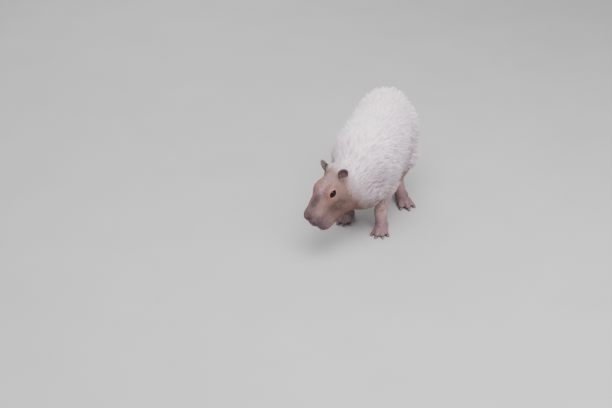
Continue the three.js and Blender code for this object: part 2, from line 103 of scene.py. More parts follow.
def ramp(v, low, high):
    """Rises smoothly from 0 at low to 1 at high."""
    t = np.clip((np.asarray(v, float) - low) / (high - low), 0, 1)
    return t * t * (3 - 2 * t)


def bump(v, middle, width):
    """1 at the middle, and falling off smoothly on both sides."""
    return np.exp(-(((np.asarray(v, float) - middle) / width) ** 2))


def mix(a, b, t):
    return np.asarray(a, float) * (1 - t) + np.asarray(b, float) * t


def dot(a, b):
    return (a * b).sum(-1)


def span(v):
    """The length of each row."""
    return np.linalg.norm(v, axis=1)


# The head has its own axes: forward along the muzzle, left and up
def turn_z(a):
    return np.array([[math.cos(a), -math.sin(a), 0], [math.sin(a), math.cos(a), 0], [0, 0, 1]])


def turn_y(a):
    return np.array([[math.cos(a), 0, math.sin(a)], [0, 1, 0], [-math.sin(a), 0, math.cos(a)]])


def turn_x(a):
    return np.array([[1, 0, 0], [0, math.cos(a), -math.sin(a)], [0, math.sin(a), math.cos(a)]])


HEAD_TURN = turn_z(-math.pi / 2 - HEAD_YAW) @ turn_y(-HEAD_PITCH) @ turn_x(HEAD_ROLL)


def on_head(p):
    return np.asarray(p, float) @ HEAD_TURN.T + SKULL_BACK


def from_head(p):
    return (np.asarray(p, float) - SKULL_BACK) @ HEAD_TURN


def head_way(v):
    return np.asarray(v, float) @ HEAD_TURN.T


def eye_at(s):
    return np.array([123, 38.5 * s, 49.0])


def eye_out(s):
    return unit([0.16, s, 0.2])


def ear_root(s):
    return np.array([38, 52 * s, 58.0])


SHIFT = np.array((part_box("eye_left")[0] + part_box("eye_left")[1]) / 2) * 1000 - on_head(eye_at(1))


def placed(points):
    """Metres in the frame's place."""
    return (np.asarray(points, float) + SHIFT) * 0.001


# Smooth shapes: each gives the distance of points from its surface, negative inside
def lump(centre, radii):
    centre = np.array(centre, float)
    radii = np.array(radii, float)

    def far(p):
        q = (p - centre) / radii
        inside = np.sqrt(dot(q, q))
        slope = np.sqrt(dot(q / radii, q / radii))
        return inside * (inside - 1) / np.maximum(slope, 1e-9)

    return far


def limb(start, end, start_radius, end_radius):
    start = np.array(start, float)
    along = np.array(end, float) - start

    def far(p):
        off = p - start
        t = np.clip(off @ along / dot(along, along), 0, 1)
        gone = off - t[:, None] * along
        return np.sqrt(dot(gone, gone)) - (start_radius + (end_radius - start_radius) * t)

    return far


def tapered_block(back, front, back_half, front_half, rounding):
    """A rounded block along the head's forward axis, with its half width and height at each end."""
    middle = (back + front) / 2
    half_length = (front - back) / 2

    def far(p):
        t = np.clip((p[:, 0] - back) / (front - back), 0, 1)
        q = np.stack([
            np.abs(p[:, 0] - middle) - half_length + rounding,
            np.abs(p[:, 1]) - (back_half[0] + (front_half[0] - back_half[0]) * t) + rounding,
            np.abs(p[:, 2]) - (back_half[1] + (front_half[1] - back_half[1]) * t) + rounding,
        ], axis=1)
        outside = span(np.maximum(q, 0))
        return outside + np.minimum(q.max(axis=1), 0) - rounding

    return far


def blend(a, b, width):
    """Joins two shapes with a rounded seam."""
    h = np.maximum(width - np.abs(a - b), 0) / width
    return np.minimum(a, b) - h * h * width * 0.25


def carve(a, tool, width):
    """Takes the tool out of the shape, with a rounded rim."""
    return -blend(-a, tool, width)


def smoothed(shapes):
    """One shape from many, each blended in with a width of its own."""
    def far(p):
        d = np.full(len(p), 1e4)
        for shape, width in shapes:
            d = blend(d, shape(p), width)
        return d

    return far


def both_sides(centre, radii, width):
    return [(lump((centre[0], centre[1] * s, centre[2]), radii), width) for s in (1, -1)]


head_field = smoothed([
    (lump((62, 0, 4), (84, 60, 66)), 30),  # skull
    (lump((112, 0, 32), (88, 48, 36)), 30),  # forehead
    *both_sides((88, 34, -34), (70, 36, 60), 30),  # cheeks
    (tapered_block(90, HEAD_LENGTH - 4, (52, 55), (47, 54), 30), 30),  # muzzle
    (lump((146, 0, -52), (88, 42, 42)), 26),  # lower jaw
    (lump((215, 0, -56), (32, 31, 24)), 14),  # chin
    *both_sides((232, 26, -20), (30, 24, 34), 14),  # upper lips
    *both_sides((240, 19, 28), (21, 18, 20), 12),  # nostril wings
    *both_sides((119, 38, 55), (30, 15, 16), 16),  # brows
    *both_sides((127, 43, 23), (26, 14, 14), 12),  # lower rims of the eye sockets
    (lump((186, 0, 44), (40, 19, 14)), 12),  # scent gland on the snout
    *both_sides((34, 46, 46), (24, 15, 20), 16),  # ear roots
])

TRUNK = [
    ((-20, 258, BACK_HEIGHT - 150), (121, 142, 148)),  # rump
    ((-9, 140, BACK_HEIGHT - 156), (126, 205, 154)),  # loin
    ((-4, 40, 310), (BELLY_HALF_WIDTH, 215, 138)),  # belly
    ((-3, 20, 352), (100, 230, 134)),  # spine
    ((-4, -60, 324), (124, 170, 150)),  # chest
    ((-6, -116, 372), (94, 120, 84)),  # withers
    ((-10, -140, 230), (84, 92, 88)),  # brisket
]

# Top joint, middle joint, low joint and ball of the foot, and how far the toes turn out in degrees
LEGS = {
    "foreleg_left": ((68, -96, 300), (75, -66, 212), (66, -90, 80), (76, -106, 22), 8),
    "foreleg_right": ((-80, -96, 300), (-94, -48, 212), (-92, -34, 80), (-92, -50, 22), 8),
    "hindleg_left": ((48, 240, 326), (94, 168, 232), (52, 220, 93), (91, 171, 24), 38),
    "hindleg_right": ((-72, 244, 326), (-106, 184, 236), (-104, 300, 104), (-106, 240, 24), 12),
}


def leg_kind(name):
    return "fore" if name.startswith("fore") else "hind"


def leg_shapes(name):
    top, joint, low, ball, _ = LEGS[name]
    if leg_kind(name) == "fore":
        return [
            (limb(top, joint, 72, 50), 40),
            (limb(joint, mix(joint, low, 0.55), 44, 29), 26),
            (limb(mix(joint, low, 0.5), low, 29, 24), 16),
            (limb(low, ball, 24, 25), 14),
        ]
    return [
        (limb(top, joint, 86, 58), 44),
        (limb(joint, mix(joint, low, 0.6), 54, 36), 30),
        (limb(mix(joint, low, 0.5), low, 38, 27), 18),
        (limb(low, ball, 27, 25), 16),
    ]


def toes_of(name):
    """Each toe's direction, radius, root, knuckle and pad."""
    ball = LEGS[name][3]
    toe_out = LEGS[name][4]
    kind = leg_kind(name)
    side = math.copysign(1, ball[0])
    ground = np.array([ball[0], ball[1], 0.0])
    radius = TOE_RADIUS[kind]
    toes = []
    for angle, reach in zip(TOE_ANGLES[kind], TOE_LENGTHS[kind]):
        turn = math.radians((angle + toe_out) * side)
        way = np.array([math.sin(turn), -math.cos(turn), 0])
        root = ground + way * 12 + (0, 0, 26)
        knuckle = ground + way * reach * 0.62 + (0, 0, 21)
        pad = ground + way * reach + (0, 0, radius - 2)
        toes.append((way, radius, root, knuckle, pad))
    return toes


def foot_shape(name):
    x, y, _ = LEGS[name][3]
    long = 30 if leg_kind(name) == "fore" else 42
    shapes = []
    for _, radius, root, knuckle, pad in toes_of(name):
        shapes.append((limb(root, knuckle, radius + 3, radius + 1), 10))
        shapes.append((limb(knuckle, pad, radius + 1, radius - 1), 10))
    shapes.append((lump((x, y + long * 0.2, 22), (29, long, 24)), 10))  # palm
    shapes.append((lump((x, y + long * 0.75, 10), (19, 18, 14)), 10))  # heel pad
    return smoothed(shapes)


body_field = smoothed([
    *[(lump(centre, radii), 60) for centre, radii in TRUNK],
    (limb((-4, -150, 330), on_head((22, 0, -4)), 116, 68), 60),  # neck
    (limb((-10, -158, 216), on_head((84, 0, -74)), 84, 54), 50),  # throat
    *[shape for name in LEGS for shape in leg_shapes(name)],
])
foot_fields = {name: foot_shape(name) for name in LEGS}


def only_near(p, near, far_value, shape):
    d = np.full(len(p), far_value)
    if near.any():
        d[near] = shape(p[near])
    return d


def flesh(p):
    """Trunk, legs, feet and head, without the long coat."""
    h = from_head(p)
    near = span(h - (140, 0, 0)) < 300
    d = blend(body_field(p), only_near(h, near, 1e4, head_field), 22)
    for name, foot in foot_fields.items():
        ball = LEGS[name][3]
        low = (p[:, 2] < 110) & (np.hypot(p[:, 0] - ball[0], p[:, 1] - ball[1]) < 170)
        d = np.where(low, blend(d, only_near(p, low, 1e4, foot), 8), d)
    return d


def coat_share(p):
    """1 where the coat is long, 0 on the face, the belly and the legs."""
    return ramp(p[:, 2], 185, 255) * ramp(-from_head(p)[:, 0], -32, 34)


def core(p):
    """The skin's own surface below the coat, without the fine forms of the face."""
    return flesh(p) + COAT_DEPTH * coat_share(p)


# Forms of the face that the fine skin adds
def leave_head(start, way):
    """Where a straight line from inside the head comes out, in the head's axes."""
    start = np.asarray(start, float)
    way = unit(way)
    near, far = 0.0, 140.0
    for _ in range(24):
        middle = (near + far) / 2
        if head_field((start + way * middle)[None])[0] < 0:
            near = middle
        else:
            far = middle
    return start + way * near


def ear_turn(s):
    return turn_y(-0.3) @ turn_x(-0.32 * s) @ turn_z(-0.6 * s)


def in_ear(h, s):
    return (h - ear_root(s)) @ ear_turn(s)


def in_eye(h, s):
    """Places seen from an eye: along the lids, up and out."""
    out = eye_out(s)
    up = unit(np.cross(out, (1, 0, -0.16)))
    along = np.cross(up, out)
    off = h - eye_at(s)
    return np.stack([off @ along, off @ up, off @ out], axis=1)


def lid_gap(e, grow=0.0):
    """Distance from the almond between the lids."""
    long, high = EYE_OPENING
    long, high = long + grow, high + grow
    edge = high * (1 - (e[:, 0] / long) ** 2)
    steep = np.sqrt(1 + (2 * high * e[:, 0] / long**2) ** 2)
    return np.maximum((np.abs(e[:, 1]) - edge) / steep, 2 - e[:, 2])


def string(points, radii):
    """A chain of thin limbs, for grooves and ridges."""
    parts = [limb(points[i], points[i + 1], radii[i], radii[i + 1]) for i in range(len(points) - 1)]

    def far(p):
        return np.minimum.reduce([part(p) for part in parts])

    return far


def mouth_points(s):
    front = [leave_head((200, 0, -38), (1, s * t, 0)) for t in (0, 0.25, 0.45)]
    sides = [leave_head((x, 0, z), (0, s, 0)) for x, z in ((232, -40), (220, -42), (205, -45), (186, -51))]
    return front + sides


mouth = {s: string(mouth_points(s), [3.4, 3.4, 3.4, 3.3, 3.0, 2.6, 1.2]) for s in (1, -1)}
cleft = string([leave_head((200, 0, z), (1, 0, 0)) for z in (-40, -26, -12, 4)], [3.0, 2.8, 2.2, 1.0])
nostril_at = {s: leave_head((200, 15 * s, 24), (1, 0.1 * s, 0)) for s in (1, -1)}


def nostril(h, s):
    q = (h - nostril_at[s]) @ (turn_z(0.35 * s) @ turn_x(-0.5 * s))
    slit = lump((0, 0, 0), (12, 5.6, 9.4))(q)
    tail = lump((-8, 6 * s, 6), (10, 3.6, 4.2))(q)
    return np.minimum(slit, tail)


def with_ear(d, h, s):
    """Adds an ear: a leaf with a hollow cup and a notch at its front edge."""
    ear = in_ear(h, s)
    middle = EAR_HEIGHT / 2 - 12
    leaf = lump((0, 0, middle), (22, 7.5, EAR_HEIGHT / 2))(ear)
    cup = lump((2, 6.5 * s, middle + 4), (17.5, 9.6, EAR_HEIGHT / 2 - 4.5))(ear)
    notch = lump((17, 7 * s, middle - 12), (8, 9, 11))(ear)
    d = blend(d, carve(leaf, cup, 2.5), 9)
    return carve(d, np.maximum(cup, notch * 0.6 - 3), 2)


def with_eye(d, h, s):
    """Adds lids with raised rims and folds, and opens them over a socket for the eye."""
    e = in_eye(h, s)
    from_eye = span(e)
    near_eye = bump(from_eye, 15, 12)
    d = blend(d, from_eye - (EYE_RADIUS + LID_THICKNESS), 5)
    d = d - 1.3 * bump(lid_gap(e, 1.6) * 0.9, 0, 2.4) * near_eye
    d = d + 1.5 * bump(lid_gap(e, 8), 0, 1.9) * near_eye * ramp(e[:, 1], 0, 6)
    d = d + 1.0 * bump(lid_gap(e, 10), 0, 2.2) * near_eye * ramp(-e[:, 1], 1, 7)
    d = carve(d, limb((15, -2, 11), (26, -6, 8), 2.2, 0.6)(e), 3)  # the corner ahead of the eye
    d = carve(d, lid_gap(e), 2)
    return carve(d, from_eye - (EYE_RADIUS + EYE_PLAY), 0.8)


def with_nostril_and_mouth(d, h, s):
    wing = span(h - nostril_at[s] - (-2, 4 * s, 5))
    d = d - 1.8 * bump(wing, 9, 4)
    d = carve(d, nostril(h, s), 2.5)
    return carve(d, mouth[s](h), 2.2)


def face_forms(d, h):
    for s in (1, -1):
        d = with_ear(d, h, s)
        d = with_eye(d, h, s)
        d = with_nostril_and_mouth(d, h, s)
    return carve(d, cleft(h), 2.0)


def face_folds(h):
    """Shallow furrows of the face, in millimetres inwards."""
    x, y, z = h.T
    side = np.abs(y)
    cheek = bump(x - 0.5 * z, 168, 10) * ramp(side, 24, 40) * bump(z, -8, 34)
    jaw = bump(z + 0.25 * x, -2, 7) * bump(x, 96, 40) * ramp(side, 26, 44)
    snout = bump(side, 24, 5) * bump(z, 48, 14) * bump(x, 186, 34)
    lip = bump(z + 4, -52, 5) * bump(x, 210, 26)
    return 1.6 * cheek + 1.2 * jaw + 1.4 * snout + 0.8 * lip


def skin(p):
    """The whole skin, under the long coat and with the fine forms of the face."""
    d = core(p)
    h = from_head(p)
    near = span(h - (140, 0, 10)) < 175
    if near.any():
        d[near] = face_forms(d[near] + face_folds(h[near]), h[near])
    return carve(d, p[:, 2] - SOLE_HEIGHT, 3)


# Making a surface from a field
CELL_CORNERS = [(c & 1, c >> 1 & 1, c >> 2) for c in range(8)]
CELL_EDGES = [(a, b) for a in CELL_CORNERS for b in CELL_CORNERS
              if a < b and sum(abs(i - j) for i, j in zip(a, b)) == 1]


def near_values(field, axes, block):
    """The field on every node of a grid, worked out only near the surface."""
    sizes = [len(a) for a in axes]
    step = axes[0][1] - axes[0][0]
    coarse = [np.arange(block / 2, n, block).astype(int) for n in sizes]
    spots = np.stack(np.meshgrid(*coarse, indexing="ij"), -1).reshape(-1, 3)
    middles = np.stack([axes[i][spots[:, i]] for i in range(3)], axis=1)
    far = field(middles)
    reach = block * step
    values = np.full(sizes, 1e3, np.float32)
    for spot in spots[far < 0]:
        low = np.maximum(spot - block // 2, 0)
        values[low[0]:low[0] + block, low[1]:low[1] + block, low[2]:low[2] + block] = -1e3
    cube = np.stack(np.meshgrid(*[np.arange(block)] * 3, indexing="ij"), -1).reshape(-1, 3)
    live = spots[np.abs(far) < reach * 1.6] - block // 2
    for part in np.array_split(live, max(1, len(live) // 400)):
        nodes = (part[:, None] + cube[None]).reshape(-1, 3)
        nodes = nodes[(nodes >= 0).all(axis=1) & (nodes < sizes).all(axis=1)]
        p = np.stack([axes[i][nodes[:, i]] for i in range(3)], axis=1)
        values[nodes[:, 0], nodes[:, 1], nodes[:, 2]] = field(p)
    return values


def net(field, low, high, step, block=8):
    """Corners and triangles of an even net over the surface of a field."""
    axes = [np.arange(low[i], high[i], step) for i in range(3)]
    values = near_values(field, axes, block)
    inside = values < 0
    total = sum(inside[x:x + inside.shape[0] - 1, y:y + inside.shape[1] - 1, z:z + inside.shape[2] - 1]
                .astype(np.int8) for x, y, z in CELL_CORNERS)
    cells = np.argwhere((total > 0) & (total < 8))
    number = np.full(total.shape, -1, np.int32)
    number[tuple(cells.T)] = np.arange(len(cells))
    summed = np.zeros((len(cells), 3))
    count = np.zeros(len(cells))
    for a, b in CELL_EDGES:
        va = values[tuple((cells + a).T)]
        vb = values[tuple((cells + b).T)]
        crosses = (va < 0) != (vb < 0)
        t = np.where(crosses, va / np.where(crosses, va - vb, 1), 0)
        summed += crosses[:, None] * (np.array(a) + t[:, None] * (np.array(b) - np.array(a)))
        count += crosses
    points = np.array([a[0] for a in axes]) + (cells + summed / count[:, None]) * step
    triangles = []
    for axis in range(3):
        ahead = np.roll(inside, -1, axis=axis)
        changes = inside != ahead
        changes[tuple(slice(-1, None) if i == axis else slice(None) for i in range(3))] = False
        here = np.argwhere(changes)
        here = here[(here > 0).all(axis=1) & (here < np.array(total.shape)).all(axis=1)]
        u = np.eye(3, dtype=int)[(axis + 1) % 3]
        v = np.eye(3, dtype=int)[(axis + 2) % 3]
        quads = np.stack([number[tuple(c.T)] for c in (here, here - u, here - u - v, here - v)], axis=1)
        flip = ~inside[tuple(here.T)]
        quads[flip] = quads[flip][:, ::-1]
        triangles.append(split_quads(quads, points))
    return points, np.concatenate(triangles)


def split_quads(quads, points):
    """Cuts each four-sided face along its shorter diagonal."""
    a, b, c, d = quads.T
    first = span(points[a] - points[c]) < span(points[b] - points[d])
    one = np.where(first[:, None], np.stack([a, b, c], 1), np.stack([a, b, d], 1))
    two = np.where(first[:, None], np.stack([a, c, d], 1), np.stack([b, c, d], 1))
    return np.concatenate([one, two])


def slope(field, p, h=0.6):
    """How the field rises around each place, which is the way out of the skin."""
    out = np.empty_like(p)
    for i in range(3):
        ahead = p.copy()
        ahead[:, i] += h
        behind = p.copy()
        behind[:, i] -= h
        out[:, i] = (field(ahead) - field(behind)) / (2 * h)
    return out


def settle(field, p, most, passes=2):
    """Moves points onto the surface."""
    for _ in range(passes):
        g = slope(field, p)
        steep = np.maximum(dot(g, g), 0.25)
        p = p - g * (np.clip(field(p), -most, most) / steep)[:, None]
    return p


def refined(points, triangles, zone):
    """Halves the edges of the triangles inside a zone and keeps the net closed."""
    inside = zone(points)
    chosen = inside[triangles].all(axis=1)
    ends = np.concatenate([triangles[:, [0, 1]], triangles[:, [1, 2]], triangles[:, [2, 0]]])
    ends = np.sort(ends, axis=1)
    split = np.tile(chosen, 3)
    keys = ends[:, 0].astype(np.int64) * len(points) + ends[:, 1]
    cut, first = np.unique(keys[split], return_index=True)
    halves = ends[split][first]
    middles = (points[halves[:, 0]] + points[halves[:, 1]]) / 2
    place = np.searchsorted(cut, keys)
    found = (place < len(cut)) & (cut[np.minimum(place, len(cut) - 1)] == keys)
    new = np.where(found, len(points) + place, -1).reshape(3, -1).T
    out = []
    for corners, mids in zip(triangles, new):
        if (mids < 0).all():
            out.append(tuple(corners))
            continue
        ring = []
        for k in range(3):
            ring.append(int(corners[k]))
            if mids[k] >= 0:
                ring.append(int(mids[k]))
        if (mids >= 0).all():
            a, ab, b, bc, c, ca = ring
            out += [(a, ab, ca), (ab, b, bc), (ca, bc, c), (ab, bc, ca)]
        else:
            start = next(k for k, v in enumerate(ring) if v >= len(points))
            ring = ring[start:] + ring[:start]
            out += [(ring[0], ring[k], ring[k + 1]) for k in range(1, len(ring) - 1)]
    return np.concatenate([points, middles]), np.array(out)


# The fine net of the head and the coarser one of the body meet at a cut through the neck
NECK_CUT = on_head((-8, 0, -10))
NECK_WAY = unit((-0.35, -0.93, -0.1))


def ahead_of_cut(p):
    return (p - NECK_CUT) @ NECK_WAY


def kept(points, triangles, keep):
    """The part of a net whose corners all pass."""
    stay = keep(points)[triangles].all(axis=1)
    triangles = triangles[stay]
    used, triangles = np.unique(triangles, return_inverse=True)
    return points[used], triangles.reshape(-1, 3)


def skin_mesh():
    body = net(skin, *BODY_BOX, BODY_STEP)
    body = kept(*body, lambda p: ahead_of_cut(p) < -1)
    points, triangles = refined(*body, lambda p: p[:, 2] < FOOT_TOP)
    low, high = on_head((140, 0, 0)) + np.array(HEAD_BOX)
    head = net(skin, low, high, HEAD_STEP)
    head = kept(*head, lambda p: (ahead_of_cut(p) > 1) & (p[:, 2] > HEAD_BOTTOM))
    joined = settle(skin, np.concatenate([points, head[0]]), 1.2)
    return joined, np.concatenate([triangles, head[1] + len(points)])


def add_object(name, data):
    made = bpy.data.objects.new(name, data)
    bpy.context.scene.collection.objects.link(made)
    return made


def mesh_object(name, points, triangles, smooth=True):
    mesh = bpy.data.meshes.new(name)
    mesh.vertices.add(len(points))
    mesh.vertices.foreach_set("co", placed(points).astype(np.float32).ravel())
    mesh.loops.add(triangles.size)
    mesh.loops.foreach_set("vertex_index", triangles.astype(np.int32).ravel())
    mesh.polygons.add(len(triangles))
    mesh.polygons.foreach_set("loop_start", np.arange(0, triangles.size, 3, dtype=np.int32))
    mesh.polygons.foreach_set("use_smooth", np.full(len(triangles), smooth))
    mesh.update(calc_edges=True)
    return add_object(name, mesh)


def close_neck(obj):
    """Joins the two open rims at the neck with a ring of triangles."""
    b = bmesh.new()
    b.from_mesh(obj.data)
    rims = [e for e in b.edges if e.is_boundary]
    bmesh.ops.bridge_loops(b, edges=rims)
    bmesh.ops.triangulate(b, faces=[f for f in b.faces if len(f.verts) > 3])
    loose = [e for e in b.edges if e.is_boundary]
    if loose:
        bmesh.ops.holes_fill(b, edges=loose, sides=0)
        bmesh.ops.triangulate(b, faces=[f for f in b.faces if len(f.verts) > 3])
    bmesh.ops.recalc_face_normals(b, faces=b.faces)
    for face in b.faces:
        face.smooth = True
    b.to_mesh(obj.data)
    b.free()


def corners_of(mesh):
    """The corners of a mesh, back in millimetres."""
    flat = np.empty(len(mesh.vertices) * 3, np.float32)
    mesh.vertices.foreach_get("co", flat)
    return flat.reshape(-1, 3).astype(float) * 1000 - SHIFT


def add_attribute(mesh, name, values):
    mesh.attributes.new(name, "FLOAT", "POINT").data.foreach_set("value", np.asarray(values, np.float32))


# Where each marking lies, from 0 to 1, the same for the skin and the coat over it
def markings(p):
    h = from_head(p)
    x, y, z = h.T
    height = p[:, 2]
    side = np.abs(y)
    near_ear = ear_marking(h)
    eye = np.minimum(*[span((h - eye_at(s)) * (0.8, 1, 1)) for s in (1, -1)])
    cheek_line = 50 - 40 * ramp(z, -10, 60)
    face = ramp(x - cheek_line, -30, 46) * ramp(height, 60, 100)
    over_eye = ramp(z, 44, 58) * bump(eye, 26, 8) + 0.8 * bump(eye, 22, 5) * ramp(x, 118, 130)
    under_eye = np.exp(-(((x - 128) / 30) ** 2 + ((z + 2) / 26) ** 2)) * ramp(side, 30, 44)
    gland = np.exp(-(((x - 184) / 34) ** 4 + (side / 20) ** 4)) * ramp(z, 34, 46)
    gaps = [np.minimum(mouth[s](h), nostril(h, s)) for s in (1, -1)]
    shaded_gap = np.minimum(np.minimum(*gaps), cleft(h))
    snout = bump(x, 170, 42) * ramp(side, 20, 44) * bump(z, 4, 44)
    return {
        "face": face,
        "snout": snout * face,
        # painted shade inside the slits of the mouth, the nostrils and the cleft
        "shaded_gap": (1 - ramp(shaded_gap, -0.5, 1.6)) * face,
        "forehead": np.exp(-(((x - 112) / 52) ** 2 + (side / 30) ** 2)) * ramp(z, 40, 60),
        "eye_ring": np.clip(over_eye, 0, 1) * face,
        "lid": np.clip(bump(eye, 15, 6), 0, 1) * face,
        "cheek": under_eye * face,
        "gland": gland * face,
        "muzzle": ramp(x, 196, 240) * face,
        "lips": ramp(-z, 22, 44) * ramp(x, 150, 205) * face,
        "ear": near_ear,
        "ear_cup": near_ear * (1 - ramp(ear_cup(h), 0, 1.2)),
        "leg": (1 - ramp(height, 120, 215)) * (1 - face),
        "foot": (1 - ramp(height, 34, 96)) * (1 - face),
        "under": (1 - ramp(height, 150, 250)) * (1 - face),
        # painted shade: the coat greys lower down the flanks, as if the top of the body is lit and its sides
        # turn away from the light
        "flank_shade": (1 - ramp(height, 250, 440)) * (1 - face),
    }


def ear_cup(h):
    """Distance from the hollow of the nearer ear."""
    radii = (18, 10, EAR_HEIGHT / 2 - 4)
    return np.minimum(*[lump((2, 6.5 * s, EAR_HEIGHT / 2 - 8), radii)(in_ear(h, s)) for s in (1, -1)])


def ear_marking(h):
    """1 on the ears, 0 beyond them."""
    out = np.zeros(len(h))
    for s in (1, -1):
        e = in_ear(h, s)
        q = (e - (0, 0, EAR_HEIGHT / 2 - 12)) / (25, 13, EAR_HEIGHT / 2 + 3)
        out = np.maximum(out, 1 - ramp(np.sqrt(dot(q, q)), 0.92, 1.12))
    return out


# Materials
def linear(hex_colour):
    """An sRGB hex colour as the linear channels that Blender takes."""
    channels = [int(hex_colour[i:i + 2], 16) / 255 for i in (0, 2, 4)]
    return [c / 12.92 if c <= 0.04045 else ((c + 0.055) / 1.055) ** 2.4 for c in channels] + [1.0]


def new_tree(name):
    material = bpy.data.materials.new(name)
    material.use_nodes = True
    material.node_tree.nodes.clear()
    return material, material.node_tree


def node(tree, kind, inputs=None, **settings):
    """Adds a node: inputs are values or output sockets by socket name or number."""
    made = tree.nodes.new(kind)
    for key, value in settings.items():
        setattr(made, key, value)
    for key, value in (inputs or {}).items():
        socket = made.inputs[key]
        if isinstance(value, bpy.types.NodeSocket):
            tree.links.new(value, socket)
        else:
            socket.default_value = value
    return made


def finished(material, colour, roughness, specular=0.5, height=None):
    """Ends a material in one shader, with its relief where it has one."""
    tree = material.node_tree
    inputs = {"Base Color": colour, "Roughness": roughness, "Specular IOR Level": specular}
    if height:
        inputs["Normal"] = height.outputs["Normal"]
    shader = node(tree, "ShaderNodeBsdfPrincipled", inputs)
    node(tree, "ShaderNodeOutputMaterial", {"Surface": shader.outputs["BSDF"]})
    return material


def object_place(tree):
    return node(tree, "ShaderNodeTexCoord").outputs["Object"]


def weight(tree, name):
    """One of the mesh's own attributes."""
    return node(tree, "ShaderNodeAttribute", attribute_name=name).outputs["Fac"]


def over(tree, below, factor, colour, mode="MIX"):
    """Paints a colour over what is below, as far as the factor says."""
    if isinstance(colour, str):
        colour = linear(colour)
    inputs = {0: factor, 6: below, 7: colour}
    return node(tree, "ShaderNodeMix", inputs, data_type="RGBA", blend_type=mode).outputs[2]


def times(tree, a, b):
    return node(tree, "ShaderNodeMath", {0: a, 1: b}, operation="MULTIPLY").outputs[0]


def plus(tree, a, b):
    return node(tree, "ShaderNodeMath", {0: a, 1: b}, operation="ADD").outputs[0]


def noise(tree, place, per_mm, detail=3.0, roughness=0.55, stretch=None, turn=(0, 0, 0)):
    """Cloudy noise whose spots are per_mm millimetres across, drawn out by stretch."""
    if stretch:
        place = node(tree, "ShaderNodeMapping", {"Vector": place, "Rotation": turn, "Scale": stretch},
                     vector_type="TEXTURE").outputs[0]
        per_mm = 1.0
    return node(tree, "ShaderNodeTexNoise", {
        "Vector": place, "Scale": 1000.0 / per_mm, "Detail": detail, "Roughness": roughness,
    }).outputs["Fac"]


def spread(tree, value, low, high):
    """Stretches what lies between low and high over 0 to 1."""
    made = node(tree, "ShaderNodeMapRange", {"Value": value, "From Min": low, "From Max": high})
    return made.outputs[0]


# Each marking in the order of painting, with how far it covers and its colour. Where two numbers
# say how far, they are the range of the fine noise that breaks it up.
PAINTED = (
    # painted shade down the flanks, greyer lower on the body
    ("flank_shade", 0.8, "d7c0ca"),
    ("under", 1.0, "ae9794"),
    ("face", 0.95, "664231"),
    ("forehead", (0.3, 0.6), "a88e90"),
    ("snout", (-0.2, 0.9), "3b241d"),
    ("muzzle", 1.0, "544044"),
    ("lips", (0.25, 0.55), "74503f"),
    ("cheek", (-0.2, 0.8), "4d3634"),
    ("eye_ring", (0.1, 1.0), "783a12"),
    ("lid", 0.5, "a98377"),
    ("gland", 1.0, "20161a"),
    ("leg", 1.0, "b3938b"),
    ("foot", 1.0, "6c5255"),
    ("ear", 0.95, "130c0b"),
    ("ear_cup", (0.1, 0.6), "48312a"),
    # painted shade, near black, inside the slits of the mouth, nostrils and cleft
    ("shaded_gap", 0.92, "1d1214"),
)


def marked_colour(tree, place):
    """The animal's markings, in the colours of its hair and skin, over a pinkish white, with painted
    shade down the flanks and inside the slits of the mouth, nostrils and cleft.
    """
    patchy = noise(tree, place, 46.0)
    fine = noise(tree, place, 9.0)
    colour = over(tree, linear("fff5fb"), spread(tree, patchy, 0.38, 0.66), "f4e5ee")
    for name, cover, paint in PAINTED:
        share = spread(tree, fine, *cover) if isinstance(cover, tuple) else cover
        colour = over(tree, colour, times(tree, weight(tree, name), share), paint)
    return colour


def fur_skin():
    """Skin under thin short hair: matt, with a fine nap that lies back along each part."""
    material, tree = new_tree("short_haired_skin")
    place = object_place(tree)
    head_euler = tuple(Matrix(HEAD_TURN.tolist()).to_euler())
    nap_head = noise(tree, place, 1, 2.0, 0.6, stretch=(9.0, 1.3, 1.3), turn=head_euler)
    nap_body = noise(tree, place, 1, 2.0, 0.6, stretch=(1.5, 12.0, 1.5))
    nap_leg = noise(tree, place, 1, 2.0, 0.6, stretch=(1.4, 1.4, 9.0))
    nap = over(tree, nap_body, weight(tree, "face"), nap_head)
    nap = over(tree, nap, weight(tree, "leg"), nap_leg)
    grain = noise(tree, place, 2.2, 4.0)
    colour = marked_colour(tree, place)
    colour = over(tree, colour, times(tree, spread(tree, nap, 0.4, 0.7), 0.3), "f2e9e6", "MULTIPLY")
    colour = over(tree, colour, times(tree, spread(tree, nap, 0.62, 0.35), 0.45), "8a7474")
    height = node(tree, "ShaderNodeBump", {"Strength": 0.55, "Distance": 0.0012, "Height": nap})
    height = node(tree, "ShaderNodeBump", {
        "Strength": 0.3, "Distance": 0.0008, "Height": grain, "Normal": height.outputs[0],
    })
    return finished(material, colour, 0.62, 0.3, height)


def hair_coat():
    """Coarse guard hair in thin tufts, a little glossy: painted shade darkens each tuft at its root,
    deep in the coat, and at a clump's edge, where clumps shade one another, so the tips are paler."""
    material, tree = new_tree("coarse_hair")
    colour = marked_colour(tree, object_place(tree))
    tint = weight(tree, "tint")
    paler = plus(tree, 0.5, times(tree, weight(tree, "face"), -0.42))
    paler = plus(tree, paler, times(tree, weight(tree, "ear"), -0.5))
    # painted shade deep in the coat: each tuft darkens towards its root
    root = spread(tree, weight(tree, "along"), 0.6, 0.0)
    colour = over(tree, colour, times(tree, spread(tree, tint, 0.5, 1.0), paler), "fdf1f8")
    colour = over(tree, colour, times(tree, spread(tree, tint, 0.5, 0.0), 0.3), "a08c8e", "MULTIPLY")
    colour = over(tree, colour, times(tree, root, 0.55), "9a8688", "MULTIPLY")
    # painted shade between clumps: tufts darken towards a clump's edge
    colour = over(tree, colour, times(tree, weight(tree, "edge"), 0.52), "8a767c", "MULTIPLY")
    return finished(material, colour, 0.5, 0.35)


